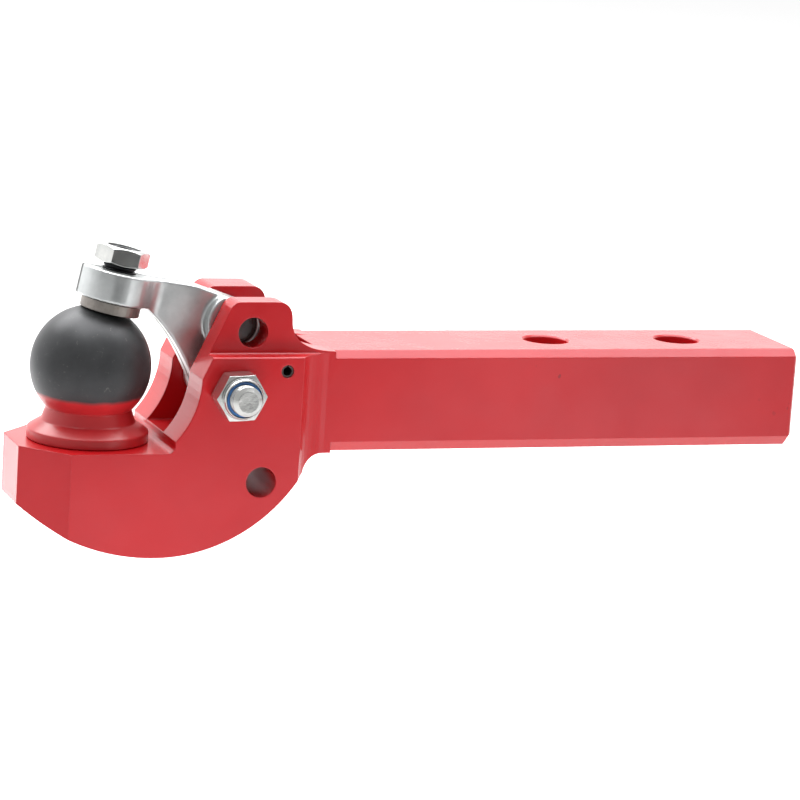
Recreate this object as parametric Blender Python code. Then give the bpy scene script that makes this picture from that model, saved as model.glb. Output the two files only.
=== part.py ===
"""Drawbar ball hitch: square bar, hook block, ball, and a hinged hold-down arm.

Frame: +X runs along the bar away from the ball, +Z is up, and the origin is
the centre of the bar's plain end face. Side-view positions below are given
from the ball's centre, in millimetres.
"""
import math

import bmesh
import bpy
from mathutils import Vector

MM = 0.001
GAP = 0.3              # clearance kept between touching pieces

# Ball centre seen from the origin at the bar's end face
BALL_X = -498.0
BALL_Z = 18.2

# Ball, neck and collar
BALL_R = 40.0
NECK = (28.8, -29.5)
CONE_TOP = (31.2, -36.4)
COLLAR_R = 40.25
COLLAR_TOP_Z = -42.5
SHANK_R = 18.0
SHANK_END_Z = -84.0

# Bar
BAR_HALF_W = 39.0
BAR_TOP_Z = 16.3
BAR_BOTTOM_Z = -52.7
BAR_CHAMFER_TOP = 5.0
BAR_CHAMFER_BOTTOM = 7.5
BAR_CHAMFER_START_X = 158.0
BAR_HOLE_R = 15.5
BAR_HOLES_X = (323.0, 422.0)
BAR_END_CHAMFER = 2.0

# Hook block
BLOCK_HALF_W = 50.0
NOSE_X = -51.5
NOSE_HALF_W = 20.5
NOSE_CHAMFER_X = 28.0
SEAT_Z = -49.25
BELLY_X = 37.0         # lowest point of the belly
BELLY_Z = -119.4
BELLY_R_FRONT = 141.0
BELLY_R_REAR = 114.0
BELLY_END_X = 132.0
SIDE_FILLET_R = 24.6
SIDE_FILLET_X = 152.0
UNDER_FILLET_R = 15.5
UNDER_FILLET_X = 151.0

# Slot and ears
SLOT_HALF_W = 20.0
SLOT_FLOOR_Z = -41.5
SLOT_END_X = 148.0
RISER_X = 46.2
RISER_FILLET_R = 5.0
CHEEK_ARC_R = 62.0     # clearance arc round the ball for the coupling ring
EAR_TOP_Z = 49.4
EAR_SLOPE_DEG = 20.7
EAR_FRONT = (80.0, 39.6)
EAR_TOP_X = (89.0, 114.5)
EAR_FOOT_X = 157.0
LEDGE_Z = 14.75
LEDGE_Y = -39.0
LEDGE_BEVEL = 1.0
LEDGE_FILLET = 0.9

# Holes through the block and the ears
PIVOT = (85.0, -9.3)
LOCK_RADIUS = 40.6     # pivot to locking hole, on the ears and on the arm
EAR_HOLE_DEG = 70.6
EAR_HOLE_R = 10.2
LOWER_HOLE = (106.0, -69.4)
LOWER_HOLE_R = 10.3
KEEPER = (120.2, 5.1)
KEEPER_R = 4.1
KEEPER_BORE_R = 3.05
KEEPER_DEPTH = 26.0

# Hold-down arm, at rest with its pad on the ball
ARM_TILT_DEG = 11.0    # pad screw axis from the vertical
PAD_RIM = (10.8, 36.2)
PAD_R = 20.0
PAD_T = 7.5
CUP_OFFSET = 3.7       # screw axis to ball centre
EYE_R = 25.0
EYE_H = 20.0
WEB_HALF_W = 10.5
EYE_FILLET_R = 14.0
HUB_R = 17.0
HUB_SIDE_R = 15.8
HUB_HALF_W = 19.5
LOCK_BOSS_R = 21.5
LOCK_BOSS_HALF_W = 19.0
ARM_BACK = (68.9, 54.2)     # the arm's top edge falls from here in a straight line
ARM_BACK_DEG = -19.4
ARM_HOLE_DEG = 76.9
BUSH_R = 12.5
BUSH_BORE_R = 10.2
PIVOT_BUSH_R = 13.0

# Pad screw and lock nut
STUD_R = 11.0
THREAD_PITCH = 2.5
THREAD_DEPTH = 1.1
NUT_GAP = 4.2
NUT_H = 11.5
NUT_AF = 31.5
NUT_TURN_DEG = -7.0
SOCKET_AF = 10.0

# Pivot bolt
BOLT_R = 10.0
BOLT_AF = 30.0
BOLT_HEAD_H = 12.5
BOLT_END_Y = -79.0
BOLT_END_CHAMFER = 3.0
NUT_SPIN_DEG = 2.6
PIVOT_NUT_H = 16.0
PIVOT_NUT_COLLAR_H = 4.0
WASHER_R = 18.5
WASHER_T = 3.0

SEG = 44


def clear_scene():
    for obj in list(bpy.data.objects):
        bpy.data.objects.remove(obj, do_unlink=True)


def material(name, colour, roughness, metallic):
    mat = bpy.data.materials.new(name)
    mat.use_nodes = True
    shader = mat.node_tree.nodes["Principled BSDF"]
    shader.inputs["Base Color"].default_value = (*colour, 1.0)
    shader.inputs["Roughness"].default_value = roughness
    shader.inputs["Metallic"].default_value = metallic
    return mat


def link(name, bm, mat):
    """Turn a bmesh into a named object with outward faces."""
    bmesh.ops.remove_doubles(bm, verts=bm.verts, dist=1e-7)
    bmesh.ops.recalc_face_normals(bm, faces=bm.faces)
    mesh = bpy.data.meshes.new(name)
    bm.to_mesh(mesh)
    bm.free()
    mesh.shade_smooth()
    mesh.set_sharp_from_angle(angle=math.radians(28))
    obj = bpy.data.objects.new(name, mesh)
    bpy.context.scene.collection.objects.link(obj)
    if mat:
        mesh.materials.append(mat)
    return obj


def prism(name, outline, low, high, axis="Y", mat=None):
    """Extrude a closed outline; (x, z) along Y, (x, y) along Z, (y, z) along X."""
    to_3d = {
        "Y": lambda u, v: (u * MM, low * MM, v * MM),
        "Z": lambda u, v: (u * MM, v * MM, low * MM),
        "X": lambda u, v: (low * MM, u * MM, v * MM),
    }[axis]
    depth = (high - low) * MM
    step = {"Y": (0, depth, 0), "Z": (0, 0, depth), "X": (depth, 0, 0)}[axis]
    bm = bmesh.new()
    verts = [bm.verts.new(to_3d(u, v)) for u, v in outline]
    face = bm.faces.new(verts)
    grown = bmesh.ops.extrude_face_region(bm, geom=[face])
    moved = [g for g in grown["geom"] if isinstance(g, bmesh.types.BMVert)]
    bmesh.ops.translate(bm, verts=moved, vec=step)
    return link(name, bm, mat)


def turned(name, profile, mat=None, segments=SEG):
    """Spin a closed (radius, height) profile about +Z."""
    bm = bmesh.new()
    verts = [bm.verts.new((r * MM, 0, h * MM)) for r, h in profile]
    edges = [bm.edges.new((verts[i], verts[(i + 1) % len(verts)])) for i in range(len(verts))]
    on_axis = [e for e in edges if all(v.co.x < 1e-9 for v in e.verts)]
    for edge in on_axis:
        edges.remove(edge)
    bmesh.ops.delete(bm, geom=on_axis, context="EDGES_FACES")
    bmesh.ops.spin(
        bm, geom=[g for g in bm.verts] + [g for g in bm.edges], cent=(0, 0, 0),
        axis=(0, 0, 1), angle=2 * math.pi, steps=segments, use_merge=True,
    )
    return link(name, bm, mat)


def loft(name, rings, mat=None):
    """Join matching rings of points, capped at both ends."""
    bm = bmesh.new()
    loops = [[bm.verts.new([v * MM for v in point]) for point in ring] for ring in rings]
    bm.faces.new(loops[0])
    bm.faces.new(loops[-1])
    for one, two in zip(loops, loops[1:]):
        for i in range(len(one)):
            j = (i + 1) % len(one)
            bm.faces.new((one[i], one[j], two[j], two[i]))
    return link(name, bm, mat)


def boolean(target, tool, operation):
    """Add an exact Boolean and hide its tool."""
    mod = target.modifiers.new(tool.name, "BOOLEAN")
    mod.operation = operation
    mod.object = tool
    mod.solver = "EXACT"
    tool.hide_render = True
    tool.display_type = "WIRE"


def place(obj, parent, location=(0, 0, 0), rotation=(0, 0, 0)):
    obj.parent = parent
    obj.location = [v * MM for v in location]
    obj.rotation_euler = rotation


def empty(name, parent, location, rotation=(0, 0, 0)):
    obj = bpy.data.objects.new(name, None)
    bpy.context.scene.collection.objects.link(obj)
    place(obj, parent, location, rotation)
    return obj


def arc(centre, radius, start_deg, end_deg, steps):
    """Points on an arc, both ends included; angles from +X towards +Z."""
    points = []
    for i in range(steps + 1):
        a = math.radians(start_deg + (end_deg - start_deg) * i / steps)
        points.append((centre[0] + radius * math.cos(a), centre[1] + radius * math.sin(a)))
    return points


def curve(start, control, end, steps):
    """Points on a quadratic curve, both ends included."""
    points = []
    for i in range(steps + 1):
        t = i / steps
        points.append(tuple(
            (1 - t) ** 2 * a + 2 * t * (1 - t) * b + t * t * c
            for a, b, c in zip(start, control, end)
        ))
    return points


def rod_along_y(name, centre, radius, y_low, y_high, segments=SEG):
    """Cylinder along Y through a side-view point, used as a cutter or a boss."""
    outline = arc(centre, radius, 0, 360 - 360 / segments, segments - 1)
    return prism(name, outline, y_low, y_high)


def hexagon(across_flats, turn_deg=0.0):
    return arc((0, 0), across_flats / math.sqrt(3), turn_deg, turn_deg + 300, 5)


def chamfered_hex(name, across_flats, low, high, turn_deg, bore, mat, both=True, socket=0.0):
    """Hex body along Z whose corners are turned back at the end faces."""
    body = prism(name, hexagon(across_flats, turn_deg), low, high, "Z", mat)
    corner = across_flats / math.sqrt(3)
    flat = across_flats / 2
    drop = (corner - flat * 0.97) * math.tan(math.radians(30))
    profile = [(corner + 0.5, high - drop), (flat * 0.97, high), (0, high)]
    if both:
        profile += [(0, low), (flat * 0.97, low), (corner + 0.5, low + drop)]
    else:
        profile += [(0, low - 2), (corner + 0.5, low - 2)]
    turning = turned(name + ".turning", profile)
    boolean(body, turning, "INTERSECT")
    tools = [turning]
    if bore:
        hole = turned(name + ".bore", [(0, low - 5), (bore, low - 5), (bore, high + 5), (0, high + 5)])
        boolean(body, hole, "DIFFERENCE")
        tools.append(hole)
    if socket:
        well = prism(name + ".socket", hexagon(socket, 0), high - 7, high + 5, "Z")
        boolean(body, well, "DIFFERENCE")
        tools.append(well)
    return body, tools


def thread(radius, low, high):
    """Radius and height points of a grooved rod surface from low to high."""
    points = []
    turns = max(1, round((high - low) / THREAD_PITCH))
    pitch = (high - low) / turns
    for i in range(turns):
        base = low + i * pitch
        points.append((radius, base + 0.15 * pitch))
        points.append((radius - THREAD_DEPTH, base + 0.5 * pitch))
        points.append((radius, base + 0.85 * pitch))
    return points


def bar_section(x, inset):
    """The bar's chamfered rectangle at x, drawn in by inset on every side."""
    side = BAR_HALF_W - inset
    top = BAR_TOP_Z - inset
    bottom = BAR_BOTTOM_Z + inset
    ct = BAR_CHAMFER_TOP - inset * (2 - math.sqrt(2))
    cb = BAR_CHAMFER_BOTTOM - inset * (2 - math.sqrt(2))
    outline = [
        (cb - side, bottom), (side - cb, bottom), (side, bottom + cb), (side, top - ct),
        (side - ct, top), (ct - side, top), (-side, top - ct), (-side, bottom + cb),
    ]
    return [(x, y, z) for y, z in outline]


def belly_z(x):
    radius = BELLY_R_FRONT if x < BELLY_X else BELLY_R_REAR
    return BELLY_Z + radius - math.sqrt(radius ** 2 - (x - BELLY_X) ** 2)


def build_body(parent, red):
    """Bar, hook block and both ears as the one machined steel piece they are."""
    # Lower block: nose, belly, rear fillet, slot end wall, slot floor, riser, seat
    front = []
    for i in range(21):
        x = NOSE_X + (BELLY_X - NOSE_X) * i / 20
        front.append((x, belly_z(x)))
    rear = []
    for i in range(1, 25):
        x = BELLY_X + (BELLY_END_X - BELLY_X) * i / 24
        rear.append((x, belly_z(x)))
    under_centre = (UNDER_FILLET_X, BAR_BOTTOM_Z - UNDER_FILLET_R)
    under = arc(under_centre, UNDER_FILLET_R, 166, 90, 8)
    riser_centre = (RISER_X - RISER_FILLET_R, SEAT_Z + RISER_FILLET_R)
    riser = arc(riser_centre, RISER_FILLET_R, 0, -90, 5)
    outline = front + rear + under
    outline += [(UNDER_FILLET_X + 6, BAR_BOTTOM_Z), (UNDER_FILLET_X + 6, BAR_TOP_Z)]
    outline += [(SLOT_END_X, BAR_TOP_Z), (SLOT_END_X, SLOT_FLOOR_Z), (RISER_X, SLOT_FLOOR_Z)]
    outline += riser + [(NOSE_X, SEAT_Z)]
    body = prism("drawbar_body", outline, -BLOCK_HALF_W, BLOCK_HALF_W, "Y", red)
    place(body, parent)

    # Cheek and ear outline, the same on both sides of the slot
    slope = math.tan(math.radians(EAR_SLOPE_DEG))
    kink_z = -10.0
    for _ in range(40):
        kink_x = EAR_FRONT[0] - (EAR_FRONT[1] - kink_z) * slope
        kink_z = -math.sqrt(max(CHEEK_ARC_R ** 2 - kink_x ** 2, 0.0))
    arc_start = math.degrees(math.asin(SLOT_FLOOR_Z / CHEEK_ARC_R))
    arc_end = math.degrees(math.asin(kink_z / CHEEK_ARC_R))
    cheek = [(RISER_X, SLOT_FLOOR_Z - 3)]
    cheek += arc((0, 0), CHEEK_ARC_R, arc_start, arc_end, 10)
    cheek += curve(EAR_FRONT, (83.0, EAR_TOP_Z), (EAR_TOP_X[0], EAR_TOP_Z), 6)
    cheek += curve((EAR_TOP_X[1], EAR_TOP_Z), (124.6, EAR_TOP_Z), (125.2, 38.0), 8)
    cheek += curve((125.4, 34.5), (127.5, 16.9), (EAR_FOOT_X, BAR_TOP_Z), 12)
    cheek += [(EAR_FOOT_X, SLOT_FLOOR_Z - 3)]
    near = prism("near_cheek", cheek, -BLOCK_HALF_W, -SLOT_HALF_W)
    far = prism("far_cheek", cheek, SLOT_HALF_W, BLOCK_HALF_W)

    # Bar with chamfered long edges
    top = BAR_TOP_Z
    bottom = BAR_BOTTOM_Z
    end = -BALL_X
    bar = loft("bar", [
        bar_section(SLOT_END_X + 1.0, 0), bar_section(end - BAR_END_CHAMFER, 0),
        bar_section(end, BAR_END_CHAMFER),
    ])
    for tool in (near, far, bar):
        place(tool, parent)
        boolean(body, tool, "UNION")

    # Cutters
    cutters = []
    for sign in (-1, 1):
        nose_cut = prism("nose_cut", [
            (NOSE_X - 10, sign * (NOSE_HALF_W - 10 * (BLOCK_HALF_W - NOSE_HALF_W) / NOSE_CHAMFER_X)),
            (NOSE_X + NOSE_CHAMFER_X + 10,
             sign * (BLOCK_HALF_W + 10 * (BLOCK_HALF_W - NOSE_HALF_W) / NOSE_CHAMFER_X)),
            (NOSE_X - 10, sign * (BLOCK_HALF_W + 20)),
        ], BELLY_Z - 10, 0, "Z")
        cutters.append(nose_cut)
        outline = [(x, sign * (BAR_HALF_W + SIDE_FILLET_R + y)) for x, y in
                   arc((SIDE_FILLET_X, 0), SIDE_FILLET_R, 180, 270, 12)]
        outline += [(SIDE_FILLET_X + 20, sign * BAR_HALF_W), (SIDE_FILLET_X + 20, sign * 70)]
        outline += [(SIDE_FILLET_X - SIDE_FILLET_R, sign * 70)]
        cutters.append(prism("rear_cut", outline, BELLY_Z - 10, EAR_TOP_Z + 10, "Z"))
    # Milled ledge: bevelled outer corner, small fillet where it meets the ear
    cutters.append(prism("ledge_cut", [
        (-BLOCK_HALF_W - 5, LEDGE_Z - LEDGE_BEVEL - 5), (-BLOCK_HALF_W + LEDGE_BEVEL, LEDGE_Z),
        (LEDGE_Y - LEDGE_FILLET, LEDGE_Z), (LEDGE_Y, LEDGE_Z + LEDGE_FILLET),
        (LEDGE_Y, EAR_TOP_Z + 10), (-BLOCK_HALF_W - 5, EAR_TOP_Z + 10),
    ], RISER_X - 5, EAR_FOOT_X + 20, "X"))
    ear_hole = on_circle(PIVOT, LOCK_RADIUS, EAR_HOLE_DEG)
    cutters.append(rod_along_y("ear_hole", ear_hole, EAR_HOLE_R, -70, 70))
    cutters.append(rod_along_y("pivot_hole", PIVOT, BOLT_R + 0.35, -70, 70))
    cutters.append(rod_along_y("lower_hole", LOWER_HOLE, LOWER_HOLE_R, -70, 70))
    cutters.append(rod_along_y(
        "keeper_hole", KEEPER, KEEPER_R + GAP, -70, -BLOCK_HALF_W + KEEPER_DEPTH, 24))
    for i, x in enumerate(BAR_HOLES_X):
        chamfer = 1.2
        hole = turned("bar_hole_%d" % (i + 1), [
            (0, bottom - 10), (BAR_HOLE_R + chamfer + 10, bottom - 10), (BAR_HOLE_R, bottom + chamfer),
            (BAR_HOLE_R, top - chamfer), (BAR_HOLE_R + chamfer + 10, top + 10), (0, top + 10),
        ])
        place(hole, parent, (x, 0, 0))
        boolean(body, hole, "DIFFERENCE")
    shank_hole = turned("shank_hole", [
        (0, BELLY_Z - 20), (BOLT_AF / math.sqrt(3) + 3.7, BELLY_Z - 20),
        (BOLT_AF / math.sqrt(3) + 3.7, SHANK_END_Z - 13), (BOLT_R + 0.8, SHANK_END_Z - 13),
        (BOLT_R + 0.8, SHANK_END_Z - GAP), (SHANK_R + GAP, SHANK_END_Z - GAP),
        (SHANK_R + GAP, SEAT_Z - 1.0), (SHANK_R + GAP + 3, SEAT_Z + 2.0), (0, SEAT_Z + 2.0),
    ])
    cutters.append(shank_hole)
    for tool in cutters:
        place(tool, parent)
        boolean(body, tool, "DIFFERENCE")
    return body


def on_circle(centre, radius, angle_deg):
    a = math.radians(angle_deg)
    return (centre[0] + radius * math.cos(a), centre[1] + radius * math.sin(a))


def build_ball(parent, dark):
    """Ball, waisted neck, sloping collar and straight shank, turned as one."""
    start = math.degrees(math.asin(-28.0 / BALL_R))
    profile = [(BALL_R * math.cos(math.radians(a)), BALL_R * math.sin(math.radians(a)))
               for a in [90 - (90 - start) * i / 22 for i in range(23)]]
    profile[0] = (0, BALL_R)
    profile += [NECK, CONE_TOP, (39.5, COLLAR_TOP_Z + 0.6), (COLLAR_R, COLLAR_TOP_Z - 0.2)]
    profile += [(COLLAR_R, SEAT_Z + GAP + 0.6), (COLLAR_R - 0.6, SEAT_Z + GAP), (SHANK_R, SEAT_Z + GAP)]
    profile += [(SHANK_R, SHANK_END_Z + 1.5), (SHANK_R - 1.5, SHANK_END_Z)]
    profile += [(BOLT_R + GAP, SHANK_END_Z), (BOLT_R + GAP, SHANK_END_Z + 28), (0, SHANK_END_Z + 32)]
    ball = turned("coupling_ball", profile, dark, 56)
    place(ball, parent)


def build_ball_fixing(parent, steel):
    """Washer and bolt that pull the ball's shank down from below."""
    ledge = SHANK_END_Z - 13
    washer = turned("ball_washer", [
        (BOLT_R + 0.6, ledge - GAP), (19.0, ledge - GAP), (19.0, ledge - GAP - 4.0),
        (BOLT_R + 0.6, ledge - GAP - 4.0),
    ], steel)
    place(washer, parent)
    under_head = ledge - 2 * GAP - 4.0
    bolt, tools = chamfered_hex("ball_bolt", BOLT_AF, -10.0, 0.0, 12.0, 0, steel, both=False)
    shank = turned("ball_bolt.shank", [
        (0, -1), (BOLT_R, -1), (BOLT_R, SHANK_END_Z - under_head + 24.0),
        (BOLT_R - 1.5, SHANK_END_Z - under_head + 25.5), (0, SHANK_END_Z - under_head + 25.5),
    ])
    boolean(bolt, shank, "UNION")
    place(bolt, parent, (0, 0, under_head))
    for tool in tools + [shank]:
        place(tool, bolt)


def build_arm(pivot, zinc):
    """Forged arm: eye over the ball, web, locking boss and pivot hub."""
    ox, oz = PIVOT
    tilt = math.radians(ARM_TILT_DEG)
    axis = Vector((math.sin(tilt), math.cos(tilt)))
    across = Vector((math.cos(tilt), -math.sin(tilt)))
    rim = Vector(PAD_RIM)
    low = PAD_T + GAP
    high = low + EYE_H

    def eye_point(along, up):
        p = rim + across * along + axis * up
        return (p.x, p.y)

    lock = on_circle(PIVOT, LOCK_RADIUS, ARM_HOLE_DEG)
    # Outer tangent between hub and boss on the rear side
    dx, dz = lock[0] - ox, lock[1] - oz
    span = math.hypot(dx, dz)
    tangent_deg = math.degrees(math.atan2(dz, dx) - math.acos((HUB_R - LOCK_BOSS_R) / span))
    # The straight top edge cuts across the boss at two angles
    slope = math.radians(ARM_BACK_DEG)
    normal = (-math.sin(slope), math.cos(slope))
    height = sum((a - b) * n for a, b, n in zip(ARM_BACK, lock, normal))
    spread = math.degrees(math.acos(height / LOCK_BOSS_R))
    boss_end = 90 + ARM_BACK_DEG - spread
    boss_start = 90 + ARM_BACK_DEG + spread
    outline = [eye_point(-EYE_R - 4, low), eye_point(19.5, low)]
    outline += curve(eye_point(21.0, low + 0.4), (53.5, 23.5), (68.0, -9.3), 12)
    outline += arc(PIVOT, HUB_R, 180, 360 + tangent_deg, 18)[1:]
    outline += arc(lock, LOCK_BOSS_R, tangent_deg, boss_end, 8)
    outline += [ARM_BACK]
    outline += curve(ARM_BACK, (62.5, 56.0), eye_point(24.0, high), 4)[1:]
    outline += [eye_point(-EYE_R - 4, high)]
    side = prism("hold_down_arm", [(x - ox, z - oz) for x, z in outline], -40, 40, "Y", zinc)

    # Plan outline seen down the screw axis: round eye, concave fillets, flat web
    fillet_y = WEB_HALF_W + EYE_FILLET_R
    reach = EYE_R + EYE_FILLET_R
    fillet_x = math.sqrt(reach ** 2 - fillet_y ** 2)
    meet = math.degrees(math.atan2(fillet_y, fillet_x))
    plan = arc((0, 0), EYE_R, meet, 360 - meet, 36)
    plan += arc((fillet_x, -fillet_y), EYE_FILLET_R, 180 - meet, 90, 8)[1:]
    plan += [(140.0, -WEB_HALF_W), (140.0, WEB_HALF_W)]
    plan += arc((fillet_x, fillet_y), EYE_FILLET_R, 270, 180 + meet, 8)[:-1]
    outer = prism("arm_plan", plan, -140, 60, "Z")
    place(side, pivot)
    place(outer, pivot, (rim.x - ox, 0, rim.y - oz), (0, tilt, 0))
    boolean(side, outer, "INTERSECT")

    hub = rod_along_y("arm_hub", (0, 0), HUB_SIDE_R, -HUB_HALF_W, HUB_HALF_W)
    boss_centre = (lock[0] - ox, lock[1] - oz)
    boss = prism("arm_boss", arc(boss_centre, LOCK_BOSS_R, boss_start, 360 + boss_end, 30),
                 -LOCK_BOSS_HALF_W, LOCK_BOSS_HALF_W)
    for tool in (hub, boss):
        place(tool, pivot)
        boolean(side, tool, "UNION")
    bores = [
        rod_along_y("arm_pivot_bore", (0, 0), PIVOT_BUSH_R + GAP, -30, 30),
        rod_along_y("arm_lock_bore", boss_centre, BUSH_R + GAP, -30, 30),
    ]
    screw_bore = turned("arm_screw_bore", [
        (0, -5), (STUD_R + GAP, -5), (STUD_R + GAP, 60), (0, 60),
    ])
    for tool in bores:
        place(tool, pivot)
        boolean(side, tool, "DIFFERENCE")
    place(screw_bore, pivot, (rim.x - ox, 0, rim.y - oz), (0, tilt, 0))
    boolean(side, screw_bore, "DIFFERENCE")
    return lock


def bush(name, parent, centre, outer, inner, half, mat):
    """Plain bush along Y."""
    ring = turned(name, [
        (inner, -half + 0.6), (inner + 0.6, -half), (outer - 0.6, -half), (outer, -half + 0.6),
        (outer, half - 0.6), (outer - 0.6, half), (inner + 0.6, half), (inner, half - 0.6),
    ], mat)
    place(ring, parent, (centre[0], 0, centre[1]), (math.radians(-90), 0, 0))


def build_pad_screw(screw, dark, zinc):
    """Cupped pad with its threaded stud, and the thin lock nut above the eye."""
    tilt = math.radians(ARM_TILT_DEG)
    along = PAD_RIM[0] * math.sin(tilt) + PAD_RIM[1] * math.cos(tilt)
    clear = BALL_R + 0.4
    depth = clear - along
    cup = []
    for i in range(9):
        s = depth * (1 - i / 8) ** 1.5
        cup.append((math.sqrt(max(clear ** 2 - (along + s) ** 2, 0)) + CUP_OFFSET, s))
    eye_top = PAD_T + GAP + EYE_H
    stud_end = eye_top + NUT_GAP + NUT_H - 1.0
    profile = [(0, depth)] + cup
    profile += [(PAD_R - 0.5, 0), (PAD_R, 0.5), (PAD_R, PAD_T - 0.7), (PAD_R - 0.7, PAD_T)]
    profile += [(STUD_R, PAD_T)]
    profile += thread(STUD_R, eye_top - 2.0, eye_top + NUT_GAP + 3.0)
    profile += thread(STUD_R, stud_end - 4.0, stud_end - 1.5)
    profile += [(STUD_R - 1.5, stud_end), (0, stud_end)]
    stud = turned("pad_screw", profile, dark)
    place(stud, screw)
    well = prism("pad_screw.socket", hexagon(SOCKET_AF, 10), stud_end - 8, stud_end + 4, "Z")
    place(well, screw)
    boolean(stud, well, "DIFFERENCE")
    low = eye_top + NUT_GAP
    nut, tools = chamfered_hex("pad_lock_nut", NUT_AF, low, low + NUT_H, NUT_TURN_DEG,
                               STUD_R + GAP, zinc)
    for piece in [nut] + tools:
        place(piece, screw)


def build_pivot_fixing(parent, zinc, blue):
    """Bolt with its head on the far side, washer, and self-locking nut on the near side."""
    ox, oz = PIVOT
    axis = empty("pivot_bolt_axis", parent, (ox, 0, oz), (math.radians(90), 0, 0))
    # Heights run along -Y on this axis: the near cheek face is at +BLOCK_HALF_W
    near = BLOCK_HALF_W
    head_base = -(BLOCK_HALF_W + WASHER_T + 2 * GAP)
    head, tools = chamfered_hex("pivot_bolt", BOLT_AF, 0, BOLT_HEAD_H, 10.0, 0, zinc, both=False)
    place(head, axis, (0, 0, head_base), (math.radians(180), 0, 0))
    end = -BOLT_END_Y - head_base
    ch = BOLT_END_CHAMFER
    profile = [(0, 1), (0, -end), (BOLT_R - ch, -end), (BOLT_R, ch * 0.8 - end)]
    profile += [(r, -h) for r, h in reversed(thread(BOLT_R, near - head_base + 17, end - ch))]
    profile += [(BOLT_R, 1)]
    shank = turned("pivot_bolt.shank", profile)
    for tool in tools + [shank]:
        place(tool, head)
    boolean(head, shank, "UNION")

    washer = turned("pivot_washer", [
        (BOLT_R + 0.6, -near - GAP), (WASHER_R, -near - GAP),
        (WASHER_R, -near - GAP - WASHER_T), (BOLT_R + 0.6, -near - GAP - WASHER_T),
    ], zinc)
    place(washer, axis)

    low = near + GAP
    nut, tools = chamfered_hex("pivot_nut", BOLT_AF, low, low + PIVOT_NUT_H,
                               NUT_SPIN_DEG, 0, zinc)
    top = low + PIVOT_NUT_H
    rise = PIVOT_NUT_COLLAR_H
    crown = turned("pivot_nut.crown", [
        (0, top - 2), (13.6, top - 2), (13.5, top + rise - 1.2), (12.9, top + rise),
        (0, top + rise),
    ])
    bore = turned("pivot_nut.through", [
        (0, low - 5), (BOLT_R + GAP, low - 5), (BOLT_R + GAP, top - 1.0), (12.2, top - 1.0),
        (12.2, top + rise + 1), (0, top + rise + 1),
    ])
    for piece in [nut] + tools + [crown, bore]:
        place(piece, axis)
    boolean(nut, crown, "UNION")
    boolean(nut, bore, "DIFFERENCE")
    insert = turned("pivot_nut_insert", [
        (BOLT_R + GAP, top - 0.6), (11.8, top - 0.6), (11.8, top + rise - 0.9),
        (11.3, top + rise - 0.4), (BOLT_R + GAP, top + rise - 0.4),
    ], blue)
    place(insert, axis)


def build_keeper_pin(parent, zinc):
    """Slotted spring pin set in the near cheek behind the pivot."""
    length = KEEPER_DEPTH - 2.0
    half_slot = 0.7 / KEEPER_R
    start = math.degrees(half_slot)
    outer = arc((0, 0), KEEPER_R, 90 + start, 450 - start, 28)
    inner = arc((0, 0), KEEPER_BORE_R, 450 - start * 1.3, 90 + start * 1.3, 28)
    pin = prism("keeper_pin", outer + inner, 0, length, "Z", zinc)
    place(pin, parent, (KEEPER[0], -BLOCK_HALF_W + 1.0 + length, KEEPER[1]), (math.radians(90), 0, 0))


def main():
    clear_scene()
    red = material("red_paint", (0.56, 0.02, 0.03), 0.28, 0.0)
    dark = material("ball_steel", (0.10, 0.11, 0.12), 0.42, 0.6)
    brown = material("pad_steel", (0.22, 0.19, 0.16), 0.45, 0.8)
    zinc = material("zinc_plate", (0.68, 0.70, 0.70), 0.32, 0.9)
    steel = material("plain_steel", (0.45, 0.45, 0.46), 0.4, 0.9)
    bronze = material("bush_steel", (0.42, 0.40, 0.36), 0.35, 0.9)
    blue = material("blue_nylon", (0.05, 0.16, 0.42), 0.5, 0.0)

    root = empty("ball_centre", None, (BALL_X, 0, BALL_Z))
    build_body(root, red)
    build_ball(root, dark)
    build_ball_fixing(root, steel)
    pivot = empty("arm_pivot", root, (PIVOT[0], 0, PIVOT[1]))
    lock = build_arm(pivot, zinc)
    lock_local = (lock[0] - PIVOT[0], lock[1] - PIVOT[1])
    bush("arm_pivot_bush", pivot, (0, 0), PIVOT_BUSH_R, BOLT_R + GAP, HUB_HALF_W - 0.2, bronze)
    bush("arm_lock_bush", pivot, lock_local, BUSH_R, BUSH_BORE_R, LOCK_BOSS_HALF_W - 0.2, zinc)
    tilt = math.radians(ARM_TILT_DEG)
    screw = empty("pad_screw_axis", pivot, (PAD_RIM[0] - PIVOT[0], 0, PAD_RIM[1] - PIVOT[1]),
                  (0, tilt, 0))
    build_pad_screw(screw, brown, zinc)
    build_pivot_fixing(root, zinc, blue)
    build_keeper_pin(root, zinc)
    bpy.context.view_layer.update()


main()
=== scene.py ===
"""Studio scene of a drawbar ball hitch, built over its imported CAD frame."""
import math

import bmesh
import bpy
from mathutils import Matrix, Vector

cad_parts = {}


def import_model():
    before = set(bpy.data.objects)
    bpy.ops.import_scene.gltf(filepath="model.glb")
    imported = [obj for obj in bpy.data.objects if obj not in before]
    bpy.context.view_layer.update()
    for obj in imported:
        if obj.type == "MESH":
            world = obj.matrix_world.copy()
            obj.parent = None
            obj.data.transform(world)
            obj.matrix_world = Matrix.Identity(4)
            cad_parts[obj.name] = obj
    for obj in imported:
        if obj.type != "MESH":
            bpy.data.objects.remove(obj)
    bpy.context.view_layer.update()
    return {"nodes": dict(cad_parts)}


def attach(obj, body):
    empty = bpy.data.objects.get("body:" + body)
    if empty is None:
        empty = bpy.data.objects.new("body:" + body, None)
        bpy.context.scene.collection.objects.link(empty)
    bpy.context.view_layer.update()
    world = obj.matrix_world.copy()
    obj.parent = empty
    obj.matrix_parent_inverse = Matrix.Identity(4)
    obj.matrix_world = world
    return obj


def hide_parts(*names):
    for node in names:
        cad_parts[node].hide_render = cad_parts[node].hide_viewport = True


MM = 0.001
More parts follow.
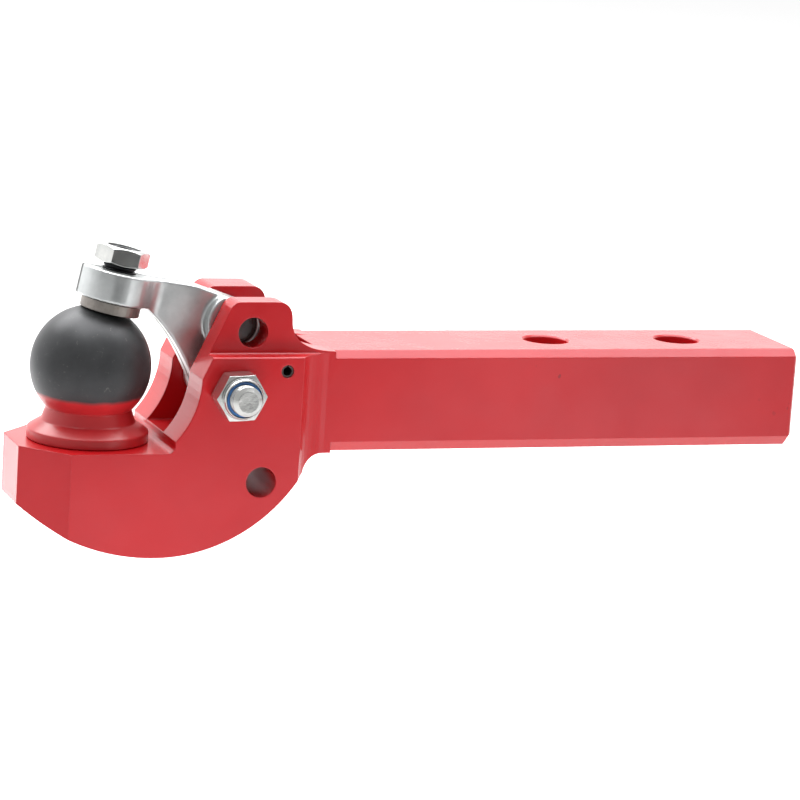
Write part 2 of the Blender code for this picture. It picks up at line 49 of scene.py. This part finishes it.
BALL_CENTRE = Vector((-0.498, 0.0, 0.0182))
TILT = math.radians(11.0)              # pad screw axis from the vertical
PAD_RIM = BALL_CENTRE + Vector((10.8, 0, 36.2)) * MM

# Ball, turned about its own vertical axis; heights in millimetres from its centre
BALL_R = 40.0
NECK_TOP_Z = -28.0
PAINT_EDGE_Z = -18.5                   # the red paint reaches up to here
SHANK_R = 18.0
SHANK_END_Z = -84.0
BALL_SEGMENTS = 192

# Rounding of the CAD nodes
EDGE_ROUND_SEGMENTS = 2
EDGE_ROUND_ANGLE = math.radians(32.0)
DISSOLVE_ANGLE = math.radians(0.4)
FORGE_VOXEL = 0.0008
FORGE_SMOOTH_PASSES = 9

# Studio
FLOOR_Z = -0.42
FLOOR_SIZE = 30.0
CARD_CENTRE = (-0.20, -1.25, -0.02)
CARD_SIZE = (1.60, 0.80)
CARD_GLOW_LIMIT = 2.2
WORLD_FRONT = (-0.8, 0.42)             # direction along Y, strength
WORLD_BEHIND = (0.7, 1.5)
CAMERA_OFFSET = Vector((-599.45, -2163.94, 446.69)) * MM
CAMERA_LENS = 155.86


# ---------------------------------------------------------------- materials

class Nodes:
    """A short way to build one material's node tree."""

    def __init__(self, name):
        self.material = bpy.data.materials.new(name)
        self.material.use_nodes = True
        self.tree = self.material.node_tree
        self.shader = self.tree.nodes["Principled BSDF"]
        coords = self.tree.nodes.new("ShaderNodeTexCoord")
        self.position = coords.outputs["Object"]

    def add(self, kind, inputs=None, **settings):
        node = self.tree.nodes.new("ShaderNode" + kind)
        for key, value in settings.items():
            setattr(node, key, value)
        for key, value in (inputs or {}).items():
            self.put(node.inputs[key], value)
        return node

    def put(self, socket, value):
        if isinstance(value, bpy.types.NodeSocket):
            self.tree.links.new(value, socket)
        elif isinstance(value, tuple) and len(value) == 3 and socket.type == "RGBA":
            socket.default_value = (*value, 1.0)
        else:
            socket.default_value = value

    def noise(self, scale, detail=3.0, roughness=0.5, vector=None, distortion=0.0):
        node = self.add("TexNoise", {
            "Vector": vector or self.position, "Scale": scale, "Detail": detail,
            "Roughness": roughness, "Distortion": distortion,
        })
        return node.outputs["Fac"]

    def ramp(self, value, low, high, to_low=0.0, to_high=1.0):
        node = self.add("MapRange", {
            "Value": value, "From Min": low, "From Max": high, "To Min": to_low, "To Max": to_high,
        })
        return node.outputs["Result"]

    def math(self, operation, a, b=0.0):
        return self.add("Math", {0: a, 1: b}, operation=operation).outputs[0]

    def mix(self, factor, a, b):
        node = self.add("Mix", data_type="RGBA")
        self.put(node.inputs["Factor"], factor)
        self.put(node.inputs[6], a)
        self.put(node.inputs[7], b)
        return node.outputs[2]

    def edges(self, radius):
        """0 on flat faces, rising to 1 on sharp convex or concave edges."""
        bevel = self.add("Bevel", {"Radius": radius}, samples=6)
        geometry = self.add("NewGeometry")
        dot = self.add("VectorMath", {0: bevel.outputs["Normal"], 1: geometry.outputs["Normal"]},
                       operation="DOT_PRODUCT")
        return self.ramp(dot.outputs["Value"], 0.99, 0.80)

    def bump(self, height, distance, strength=1.0, normal=None):
        inputs = {"Height": height, "Distance": distance, "Strength": strength}
        if normal is not None:
            inputs["Normal"] = normal
        return self.add("Bump", inputs).outputs["Normal"]

    def round_edges(self, radius):
        return self.add("Bevel", {"Radius": radius}, samples=6).outputs["Normal"]

    def set(self, **values):
        names = {"color": "Base Color", "roughness": "Roughness", "metallic": "Metallic",
                 "normal": "Normal", "specular": "Specular IOR Level"}
        for key, value in values.items():
            self.put(self.shader.inputs[names[key]], value)
        return self.material


def red_enamel():
    """Thick glossy red paint over a milled and flame-cut steel body."""
    n = Nodes("red_enamel")
    patches = n.ramp(n.noise(11, 4), 0.35, 0.68)
    colour = n.mix(patches, (0.440, 0.0080, 0.0110), (0.505, 0.0110, 0.0140))
    speck = n.ramp(n.noise(1100, 2), 0.66, 0.80)
    colour = n.mix(n.math("MULTIPLY", speck, 0.18), colour, (0.27, 0.006, 0.008))
    # Edges lighten towards pale pink: partly thin-paint wear, partly a painted edge highlight.
    edge = n.edges(0.0011)
    wear_and_edge_highlight = n.math("MULTIPLY", edge, n.ramp(n.noise(110, 5, 0.6), 0.40, 0.68))
    colour = n.mix(n.math("MULTIPLY", wear_and_edge_highlight, 0.50), colour, (0.66, 0.10, 0.11))
    nicks = n.math("MULTIPLY", n.ramp(n.noise(170, 1, 0.3), 0.745, 0.765),
                   n.ramp(n.noise(13, 1), 0.60, 0.66))
    colour = n.mix(n.math("MULTIPLY", nicks, 0.6), colour, (0.12, 0.008, 0.010))
    normal = n.bump(n.noise(460, 2, 0.45), 0.00010, 0.30, n.round_edges(0.0011))
    normal = n.bump(n.noise(34, 3), 0.0010, 0.18, normal)
    roughness = n.ramp(n.noise(28, 5, 0.6), 0.3, 0.7, 0.17, 0.26)
    n.put(n.shader.inputs["Specular Tint"], (1.0, 0.93, 1.0))
    return n.set(color=colour, roughness=roughness, normal=normal)


def ball_finish():
    """Dark machined ball; red paint begins on its underside with a soft sprayed edge."""
    n = Nodes("ball_satin")
    split = n.add("SeparateXYZ", {0: n.position})
    height = n.math("SUBTRACT", split.outputs["Z"], BALL_CENTRE.z + PAINT_EDGE_Z * MM)
    wander = n.ramp(n.noise(45, 3), 0.2, 0.8, -0.0011, 0.0011)
    painted = n.ramp(n.math("ADD", height, wander), 0.0014, -0.0014)
    lathe = n.add("Mapping", {"Vector": n.position, "Scale": (6.0, 6.0, 900.0)}).outputs[0]
    rings = n.noise(1.0, 3, 0.6, lathe)
    cloud = n.noise(26, 5, 0.6)
    steel = n.mix(n.ramp(cloud, 0.3, 0.7), (0.034, 0.035, 0.037), (0.060, 0.061, 0.064))
    scuff = n.ramp(n.noise(240, 2, 0.6, distortion=1.5), 0.66, 0.74)
    steel = n.mix(n.math("MULTIPLY", scuff, 0.35), steel, (0.17, 0.16, 0.15))
    paint = n.mix(n.ramp(n.noise(30, 4), 0.35, 0.7), (0.40, 0.014, 0.018), (0.52, 0.022, 0.026))
    colour = n.mix(painted, steel, paint)
    steel_rough = n.ramp(cloud, 0.3, 0.7, 0.38, 0.50)
    roughness = n.add("Mix", {"Factor": painted, 2: steel_rough, 3: 0.29}).outputs[0]
    metallic = n.math("MULTIPLY", n.math("SUBTRACT", 1.0, painted), 0.55)
    normal = n.bump(rings, 0.00003, 0.5, n.round_edges(0.0006))
    return n.set(color=colour, roughness=roughness, metallic=metallic, normal=normal)


def plated(name, low, high, rough=(0.29, 0.42), grain=260.0, relief=0.00012, edge=0.0009,
           parting=False):
    """Bright zinc over steel: clouded, faintly grained, lighter on its edges as a painted highlight.

    A forging also shows the dark trimmed parting line round its middle plane.
    """
    n = Nodes(name)
    cloud = n.noise(42, 6, 0.62)
    colour = n.mix(n.ramp(cloud, 0.30, 0.70), low, high)
    stain = n.ramp(n.noise(75, 3, 0.5), 0.50, 0.80)
    colour = n.mix(n.math("MULTIPLY", stain, 0.40), colour, tuple(c * 0.72 for c in low))
    # Edges lighten towards pale zinc: a painted edge highlight.
    bright = n.math("MULTIPLY", n.edges(edge), 0.5)
    colour = n.mix(bright, colour, (0.86, 0.87, 0.87))
    roughness = n.ramp(n.noise(70, 4), 0.3, 0.7, rough[0], rough[1])
    metallic = 0.92
    if parting:
        across = n.add("SeparateXYZ", {0: n.position}).outputs["Y"]
        facing = n.add("SeparateXYZ", {0: n.add("NewGeometry").outputs["Normal"]}).outputs["Y"]
        line = n.ramp(n.math("ABSOLUTE", across), 0.0021, 0.0013)
        sideways = n.ramp(n.math("ABSOLUTE", facing), 0.5, 0.3)
        seam = n.math("MULTIPLY", line, sideways)
        colour = n.mix(n.math("MULTIPLY", seam, 0.9), colour, (0.05, 0.048, 0.046))
        metallic = n.ramp(seam, 0.0, 1.0, 0.92, 0.0)
        roughness = n.math("ADD", roughness, n.math("MULTIPLY", seam, 0.5))
    fine = n.noise(grain, 4, 0.6)
    normal = n.bump(fine, relief, 0.5, n.round_edges(edge))
    normal = n.bump(n.noise(38, 2), 0.0010, 0.25, normal)
    return n.set(color=colour, roughness=roughness, metallic=metallic, normal=normal)


def turned_steel(name, low, high, scale_z, rough, dark_above=None, metallic=0.85):
    """Dark turned steel with lathe rings and light oxide; black above a height on the screw axis."""
    n = Nodes(name)
    cloud = n.noise(80, 6, 0.62)
    colour = n.mix(n.ramp(cloud, 0.32, 0.70), low, high)
    rust = n.ramp(n.noise(160, 4, 0.6), 0.62, 0.76)
    colour = n.mix(n.math("MULTIPLY", rust, 0.4), colour, (0.16, 0.09, 0.055))
    # Edges lighten towards pale steel: a painted edge highlight.
    bright = n.math("MULTIPLY", n.edges(0.0007), 0.5)
    colour = n.mix(bright, colour, (0.55, 0.54, 0.52))
    if dark_above is not None:
        axis = (math.sin(TILT), 0.0, math.cos(TILT))
        along = n.add("VectorMath", {0: n.position, 1: axis}, operation="DOT_PRODUCT").outputs["Value"]
        base = PAD_RIM.dot(Vector(axis)) + dark_above
        colour = n.mix(n.ramp(along, base, base + 0.0006), colour, (0.035, 0.036, 0.040))
    lathe = n.add("Mapping", {"Vector": n.position, "Scale": (8.0, 8.0, scale_z)}).outputs[0]
    normal = n.bump(n.noise(1.0, 3, 0.6, lathe), 0.00005, 0.5, n.round_edges(0.0005))
    roughness = n.ramp(cloud, 0.3, 0.7, rough[0], rough[1])
    return n.set(color=colour, roughness=roughness, metallic=metallic, normal=normal)


def blue_nylon():
    """Moulded blue locking ring of the nut."""
    n = Nodes("blue_nylon")
    colour = n.mix(n.ramp(n.noise(300, 3), 0.3, 0.7), (0.025, 0.10, 0.30), (0.05, 0.17, 0.42))
    normal = n.bump(n.noise(700, 2), 0.0001, 0.4, n.round_edges(0.0004))
    return n.set(color=colour, roughness=n.ramp(n.noise(120, 2), 0.3, 0.7, 0.38, 0.52),
                 normal=normal)


def give(obj, material):
    mesh = obj.data
    if not mesh.materials:
        mesh.materials.append(material)
    for slot in obj.material_slots:
        slot.material = material


# ----------------------------------------------------------------- geometry

def lathe(name, profile, segments, matrix):
    """Turned piece about +Z from (radius, height) points that start and end on the axis."""
    bm = bmesh.new()
    rings = []
    for radius, height in profile:
        if radius < 1e-7:
            rings.append([bm.verts.new((0, 0, height))])
            continue
        ring = []
        for i in range(segments):
            a = 2 * math.pi * i / segments
            ring.append(bm.verts.new((radius * math.cos(a), radius * math.sin(a), height)))
        rings.append(ring)
    for one, two in zip(rings, rings[1:]):
        for i in range(segments):
            j = (i + 1) % segments
            face = [one[i % len(one)], one[j % len(one)], two[j % len(two)], two[i % len(two)]]
            unique = [v for k, v in enumerate(face) if v not in face[:k]]
            if len(unique) > 2:
                bm.faces.new(unique)
    bmesh.ops.recalc_face_normals(bm, faces=bm.faces)
    mesh = bpy.data.meshes.new(name)
    bm.to_mesh(mesh)
    bm.free()
    mesh.transform(matrix)
    mesh.shade_smooth()
    mesh.set_sharp_from_angle(angle=math.radians(16))
    obj = bpy.data.objects.new(name, mesh)
    bpy.context.scene.collection.objects.link(obj)
    return obj


def soften(obj, width):
    """Round a CAD node's edges without touching its mesh."""
    clean = obj.modifiers.new("clean", "DECIMATE")
    clean.decimate_type = "DISSOLVE"
    clean.angle_limit = DISSOLVE_ANGLE
    bevel = obj.modifiers.new("edge_round", "BEVEL")
    bevel.width = width
    bevel.segments = EDGE_ROUND_SEGMENTS
    bevel.limit_method = "ANGLE"
    bevel.angle_limit = EDGE_ROUND_ANGLE
    bevel.harden_normals = True
    bevel.use_clamp_overlap = False


def forge(obj):
    """Give a CAD node the soft edges and fillets of a drop forging."""
    remesh = obj.modifiers.new("forge_skin", "REMESH")
    remesh.mode = "VOXEL"
    remesh.voxel_size = FORGE_VOXEL
    remesh.use_smooth_shade = True
    smooth = obj.modifiers.new("forge_soften", "SMOOTH")
    smooth.factor = 0.5
    smooth.iterations = FORGE_SMOOTH_PASSES


def build_ball():
    """Smooth ball, waist, collar and shank in place of the faceted CAD one."""
    start = math.degrees(math.asin(NECK_TOP_Z / BALL_R))
    profile = [(0.0, BALL_R)]
    for i in range(1, 71):
        a = math.radians(90 - (90 - start) * i / 70)
        profile.append((BALL_R * math.cos(a), BALL_R * math.sin(a)))
    profile += [(28.7, -29.2), (28.9, -29.7), (31.0, -35.9), (31.5, -36.6), (39.3, -41.7)]
    profile += [(39.9, -42.2), (40.2, -42.9), (40.25, -43.6), (40.25, -48.3), (39.7, -48.95)]
    profile += [(SHANK_R, -48.95), (SHANK_R, SHANK_END_Z + 1.5), (SHANK_R - 1.5, SHANK_END_Z)]
    profile += [(10.3, SHANK_END_Z), (10.3, -56.0), (0.0, -52.0)]
    ball = lathe("coupling_ball_turned", [(r * MM, z * MM) for r, z in profile], BALL_SEGMENTS,
                 Matrix.Translation(BALL_CENTRE))
    give(ball, ball_finish())
    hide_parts("coupling_ball")
    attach(ball, "frame")


# -------------------------------------------------------------------- stage

def area_light(name, position, target, size, power, glossy=True):
    light = bpy.data.lights.new(name, "AREA")
    light.shape = "RECTANGLE"
    light.size, light.size_y = size
    light.energy = power
    obj = bpy.data.objects.new(name, light)
    bpy.context.scene.collection.objects.link(obj)
    obj.location = position
    obj.rotation_euler = (Vector(target) - Vector(position)).to_track_quat("-Z", "Y").to_euler()
    obj.visible_glossy = glossy
    return obj


def grid_object(name, size, matrix, material):
    """Flat stage piece, centred on its matrix."""
    bm = bmesh.new()
    bmesh.ops.create_grid(bm, x_segments=2, y_segments=2, size=0.5)
    bmesh.ops.scale(bm, verts=bm.verts, vec=(*size, 1.0))
    mesh = bpy.data.meshes.new(name)
    bm.to_mesh(mesh)
    bm.free()
    obj = bpy.data.objects.new(name, mesh)
    obj.matrix_world = matrix
    bpy.context.scene.collection.objects.link(obj)
    give(obj, material)
    return obj


def build_world():
    """White surroundings, dim in front and bright behind."""
    world = bpy.data.worlds.new("studio")
    bpy.context.scene.world = world
    world.use_nodes = True
    tree = world.node_tree
    coords = tree.nodes.new("ShaderNodeTexCoord")
    split = tree.nodes.new("ShaderNodeSeparateXYZ")
    tree.links.new(coords.outputs["Generated"], split.inputs[0])
    ramp = tree.nodes.new("ShaderNodeMapRange")
    ramp.interpolation_type = "SMOOTHSTEP"
    tree.links.new(split.outputs["Y"], ramp.inputs["Value"])
    ramp.inputs["From Min"].default_value, ramp.inputs["To Min"].default_value = WORLD_FRONT
    ramp.inputs["From Max"].default_value, ramp.inputs["To Max"].default_value = WORLD_BEHIND
    background = tree.nodes["Background"]
    tree.links.new(ramp.outputs["Result"], background.inputs["Strength"])
    background.inputs["Color"].default_value = (1.0, 1.0, 1.0, 1.0)
    bpy.context.scene.view_settings.view_transform = "Standard"


def build_lights():
    """Overhead and rear softboxes, with fill from the left and from low in front."""
    area_light("top_soft", (-0.10, 0.05, 1.55), (-0.10, 0.10, 0), (2.3, 1.1), 42)
    low_front = area_light("low_front", (-0.36, -0.42, -0.36), (-0.40, 0, -0.06), (0.50, 0.25), 1.6,
                           glossy=False)
    low_front.visible_camera = False
    behind = area_light("behind_soft", (-0.55, 1.45, 1.60), (-0.55, 1.30, 0), (2.4, 1.5), 75)
    behind.visible_diffuse = False
    area_light("left_soft", (-1.4, 1.5, 0.35), (-0.5, 0, 0), (0.9, 0.9), 16, glossy=False)
    area_light("back_floor", (-0.3, 3.2, 2.0), (-0.3, 3.0, -0.4), (5.0, 3.0), 150, glossy=False)


def build_stage():
    """Pale floor, whiter towards the back, and a dark card for the near faces to mirror."""
    n = Nodes("studio_floor")
    depth = n.add("SeparateXYZ", {0: n.position}).outputs["Y"]
    shade = n.mix(n.ramp(depth, -0.1, 0.7), (0.62, 0.62, 0.62), (0.93, 0.93, 0.93))
    pale = n.set(color=shade, roughness=0.9, specular=0.0)
    grid_object("studio_floor", (FLOOR_SIZE, FLOOR_SIZE), Matrix.Translation((0, 0, FLOOR_Z)), pale)

    n = Nodes("dark_card")
    spot = n.add("SeparateXYZ", {0: n.position})
    lower = n.ramp(spot.outputs["Y"], -0.21, -0.35, 0.02, 2.1)
    right = n.ramp(spot.outputs["X"], 0.27, 0.48, 0.0, 1.5)
    glow = n.math("MINIMUM", n.math("ADD", lower, right), CARD_GLOW_LIMIT)
    n.put(n.shader.inputs["Emission Color"], (1.0, 1.0, 1.0))
    n.put(n.shader.inputs["Emission Strength"], glow)
    card_look = n.set(color=(0.02, 0.02, 0.02), roughness=0.9, specular=0.0)
    turn = Matrix.Rotation(math.radians(90), 4, "X")
    card = grid_object("dark_card", CARD_SIZE, Matrix.Translation(CARD_CENTRE) @ turn, card_look)
    card.visible_camera = False
    card.visible_shadow = False
    card.visible_diffuse = False


def build_camera():
    """Long-lens view from the front left, a little above, slightly rolled."""
    right = Vector((0.93797987, -0.34049958, 0.06522121))
    up = Vector((0.00832083, 0.21018171, 0.97762693))
    forward = Vector((0.34658986, 0.91645168, -0.19997945))
    data = bpy.data.cameras.new("camera")
    data.sensor_width = 36.0
    data.lens = CAMERA_LENS
    data.clip_end = 100.0
    camera = bpy.data.objects.new("camera", data)
    bpy.context.scene.collection.objects.link(camera)
    turn = Matrix((right, up, -forward)).transposed().to_4x4()
    camera.matrix_world = Matrix.Translation(BALL_CENTRE + CAMERA_OFFSET) @ turn
    bpy.context.scene.camera = camera


def main():
    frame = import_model()
    nodes = frame["nodes"]
    build_camera()
    build_stage()
    build_world()
    build_lights()

    red = red_enamel()
    zinc = plated("zinc_plate", (0.50, 0.52, 0.52), (0.66, 0.68, 0.68), parting=True)
    bright = plated("zinc_fastener", (0.50, 0.51, 0.50), (0.68, 0.68, 0.66), (0.14, 0.24),
                    edge=0.0006)
    pad = turned_steel("pad_steel", (0.22, 0.20, 0.185), (0.36, 0.33, 0.30), 1200.0, (0.30, 0.45),
                       dark_above=0.008)
    oiled = turned_steel("oiled_steel", (0.026, 0.013, 0.011), (0.050, 0.028, 0.024), 900.0,
                         (0.42, 0.55), metallic=0.15)
    plain = turned_steel("plain_steel", (0.16, 0.15, 0.15), (0.28, 0.27, 0.26), 900.0, (0.3, 0.45))
    # Material and edge radius of each node; the arm is softened as a forging instead
    finish = {
        "drawbar_body": (red, 0.0008), "hold_down_arm": (zinc, None),
        "arm_pivot_bush": (plain, 0.0003), "arm_lock_bush": (oiled, 0.0004),
        "pivot_bolt": (bright, 0.0003), "pivot_washer": (bright, 0.0003),
        "pivot_nut": (bright, 0.0004), "pivot_nut_insert": (blue_nylon(), 0.0002),
        "keeper_pin": (oiled, 0.0002), "pad_screw": (pad, 0.0003),
        "pad_lock_nut": (bright, 0.0004), "ball_bolt": (plain, 0.0004),
        "ball_washer": (plain, 0.0003),
    }
    for name, (material, width) in finish.items():
        give(nodes[name], material)
        if name == "hold_down_arm":
            forge(nodes[name])
        else:
            soften(nodes[name], width)
    build_ball()


main()
